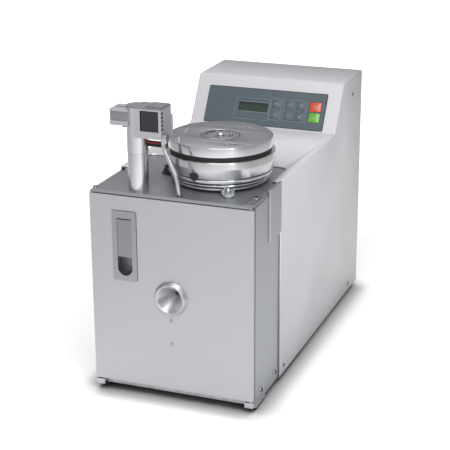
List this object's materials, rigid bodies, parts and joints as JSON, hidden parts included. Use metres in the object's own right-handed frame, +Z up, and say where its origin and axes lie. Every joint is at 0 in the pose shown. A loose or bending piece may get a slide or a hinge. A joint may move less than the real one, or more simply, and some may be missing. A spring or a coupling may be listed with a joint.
{
  "type": "wire ferrule crimping machine",
  "caption": "Benchtop wire ferrule crimping machine with a lidded vibratory bowl, feed column, drop chute, funnel in a hinged front door and a sloped key panel.",
  "frame": {"origin": "on the floor, below the middle of the machine's bounding box", "axes": "+Z up, +Y from the door to the back, +X to the right seen from the front"},
  "size_m": [0.226, 0.488, 0.3905],
  "materials": {
    "hood_paint": "satin",
    "deck_steel": "brushed, reflective",
    "door_alu": "satin anodised",
    "steel": "satin",
    "polished": "polished",
    "dark_metal": "matt",
    "zinc_sheet": "matt",
    "rubber": "matt",
    "black_plastic": "matt",
    "panel_foil": "satin",
    "key_grey": "satin",
    "key_red": "gloss",
    "key_green": "gloss",
    "display": "gloss",
    "copper": "lacquered",
    "pcb": "satin",
    "hose": "satin",
    "tool_steel": "ground",
    "brass": "satin"
  },
  "bodies": {
    "chassis": {"base_tray": "zinc_sheet", "feet": "rubber", "corner_blocks": "steel", "deck_shell": "deck_steel", "bulkhead": "zinc_sheet", "hood": "hood_paint", "rear_panel": "hood_paint", "side_flanges": "steel", "upper_hinge_arm": "steel", "hinge_pins": "polished", "cover_screws": "steel", "latch_keeper": "dark_metal", "control_bezel": "panel_foil", "display_module": "display", "bowl_base_ring": "polished", "drive_base": "dark_metal", "drive_core": "tool_steel", "drive_coil": "copper", "leaf_springs": "tool_steel", "bowl_clamps": "polished", "column_lower": "door_alu", "column_upper": "door_alu", "solenoid_coil": "black_plastic", "actuator_body": "steel", "head_cover": "dark_metal", "drop_chute": "polished", "hose_stubs": "hose", "crimp_housing": "tool_steel", "gear_motor": "dark_metal", "power_supply": "zinc_sheet", "control_board": "pcb", "scrap_tray": "zinc_sheet", "mains_inlet": "black_plastic"},
    "door": {"door_panel": "door_alu", "latch_housing": "steel", "wire_funnel": "polished", "door_screws": "steel"},
    "paddle": {"latch_paddle": "steel"},
    "pawl": {"latch_pawl": "tool_steel"},
    "key_1": {"key_1": "key_grey"},
    "key_2": {"key_2": "key_grey"},
    "key_3": {"key_3": "key_grey"},
    "key_4": {"key_4": "key_grey"},
    "key_5": {"key_5": "key_grey"},
    "key_6": {"key_6": "key_grey"},
    "key_stop": {"key_stop": "key_red"},
    "key_start": {"key_start": "key_green"},
    "feeder_bowl": {"armature": "steel", "bowl": "polished"},
    "lid": {"bowl_lid": "door_alu", "lid_pins": "polished"},
    "shutter": {"refill_shutter": "door_alu"},
    "separator": {"separator_slide": "tool_steel"},
    "cam": {"cam_ring": "tool_steel"},
    "jaw_1": {"crimp_jaw_1": "tool_steel"},
    "jaw_2": {"crimp_jaw_2": "tool_steel"},
    "jaw_3": {"crimp_jaw_3": "tool_steel"},
    "jaw_4": {"crimp_jaw_4": "tool_steel"},
    "pinion": {"drive_pinion": "brass"},
    "rocker": {"power_switch": "key_red"}
  },
  "joints": [
    {"name": "door_hinge", "type": "hinge", "parent": "chassis", "child": "door", "pos_m": [0.1065, -0.2355, 0.145], "axis": [0, 0, 1], "range_deg": [0, 110]},
    {"name": "paddle_hinge", "type": "hinge", "parent": "door", "child": "paddle", "pos_m": [-0.0625, -0.235, 0.237], "axis": [-1, 0, 0], "range_deg": [0, 45], "stiffness_Nm_per_rad": 0.05, "springref_deg": -22.92},
    {"name": "pawl_slide", "type": "slide", "parent": "door", "child": "pawl", "axis": [1, 0, 0], "range_m": [0, 0.008]},
    {"name": "key_1_press", "type": "slide", "parent": "chassis", "child": "key_1", "axis": [0, 0.8523, -0.5231], "range_m": [0, 0.0006], "stiffness_N_per_m": 800, "springref_m": -0.0004},
    {"name": "key_2_press", "type": "slide", "parent": "chassis", "child": "key_2", "axis": [0, 0.8523, -0.5231], "range_m": [0, 0.0006], "stiffness_N_per_m": 800, "springref_m": -0.0004},
    {"name": "key_3_press", "type": "slide", "parent": "chassis", "child": "key_3", "axis": [0, 0.8523, -0.5231], "range_m": [0, 0.0006], "stiffness_N_per_m": 800, "springref_m": -0.0004},
    {"name": "key_4_press", "type": "slide", "parent": "chassis", "child": "key_4", "axis": [0, 0.8523, -0.5231], "range_m": [0, 0.0006], "stiffness_N_per_m": 800, "springref_m": -0.0004},
    {"name": "key_5_press", "type": "slide", "parent": "chassis", "child": "key_5", "axis": [0, 0.8523, -0.5231], "range_m": [0, 0.0006], "stiffness_N_per_m": 800, "springref_m": -0.0004},
    {"name": "key_6_press", "type": "slide", "parent": "chassis", "child": "key_6", "axis": [0, 0.8523, -0.5231], "range_m": [0, 0.0006], "stiffness_N_per_m": 800, "springref_m": -0.0004},
    {"name": "key_stop_press", "type": "slide", "parent": "chassis", "child": "key_stop", "axis": [0, 0.8523, -0.5231], "range_m": [0, 0.0006], "stiffness_N_per_m": 800, "springref_m": -0.0004},
    {"name": "key_start_press", "type": "slide", "parent": "chassis", "child": "key_start", "axis": [0, 0.8523, -0.5231], "range_m": [0, 0.0006], "stiffness_N_per_m": 800, "springref_m": -0.0004},
    {"name": "bowl_swing", "type": "hinge", "parent": "chassis", "child": "feeder_bowl", "pos_m": [0.0326, -0.1455, 0.28], "axis": [0, 0, 1], "range_deg": [-1, 1], "stiffness_Nm_per_rad": 60},
    {"name": "lid_lift", "type": "slide", "parent": "feeder_bowl", "child": "lid", "axis": [0, 0, 1], "range_m": [0, 0.06]},
    {"name": "shutter_turn", "type": "hinge", "parent": "lid", "child": "shutter", "pos_m": [0.0326, -0.1455, 0.3365], "axis": [0, 0, 1], "range_deg": [0, 180]},
    {"name": "separator_stroke", "type": "slide", "parent": "chassis", "child": "separator", "axis": [-1, 0, 0], "range_m": [0, 0.006], "stiffness_N_per_m": 150, "springref_m": -0.002},
    {"name": "cam_turn", "type": "hinge", "parent": "chassis", "child": "cam", "pos_m": [0, -0.19, 0.144], "axis": [0, 1, 0], "range_deg": [0, 30]},
    {"name": "pinion_turn", "type": "hinge", "parent": "chassis", "child": "pinion", "pos_m": [0.03677, -0.18, 0.10723], "axis": [0, 1, 0], "range_deg": [-101, 0]},
    {"name": "jaw_1_slide", "type": "slide", "parent": "chassis", "child": "jaw_1", "axis": [-0.7071, 0, -0.7071], "range_m": [0, 0.0025]},
    {"name": "jaw_2_slide", "type": "slide", "parent": "chassis", "child": "jaw_2", "axis": [0.7071, 0, -0.7071], "range_m": [0, 0.0025]},
    {"name": "jaw_3_slide", "type": "slide", "parent": "chassis", "child": "jaw_3", "axis": [0.7071, 0, 0.7071], "range_m": [0, 0.0025]},
    {"name": "jaw_4_slide", "type": "slide", "parent": "chassis", "child": "jaw_4", "axis": [-0.7071, 0, 0.7071], "range_m": [0, 0.0025]},
    {"name": "power_rocker", "type": "hinge", "parent": "chassis", "child": "rocker", "pos_m": [0.065, 0.2386, 0.066], "axis": [-1, 0, 0], "range_deg": [0, 20]}
  ],
  "couplings": [
    {"joint": "pawl_slide", "follows": "paddle_hinge", "m_per_rad": 0.01},
    {"joint": "pinion_turn", "follows": "cam_turn", "ratio": -3.3333},
    {"joint": "jaw_1_slide", "follows": "cam_turn", "m_per_rad": 0.00477},
    {"joint": "jaw_2_slide", "follows": "cam_turn", "m_per_rad": 0.00477},
    {"joint": "jaw_3_slide", "follows": "cam_turn", "m_per_rad": 0.00477},
    {"joint": "jaw_4_slide", "follows": "cam_turn", "m_per_rad": 0.00477}
  ]
}
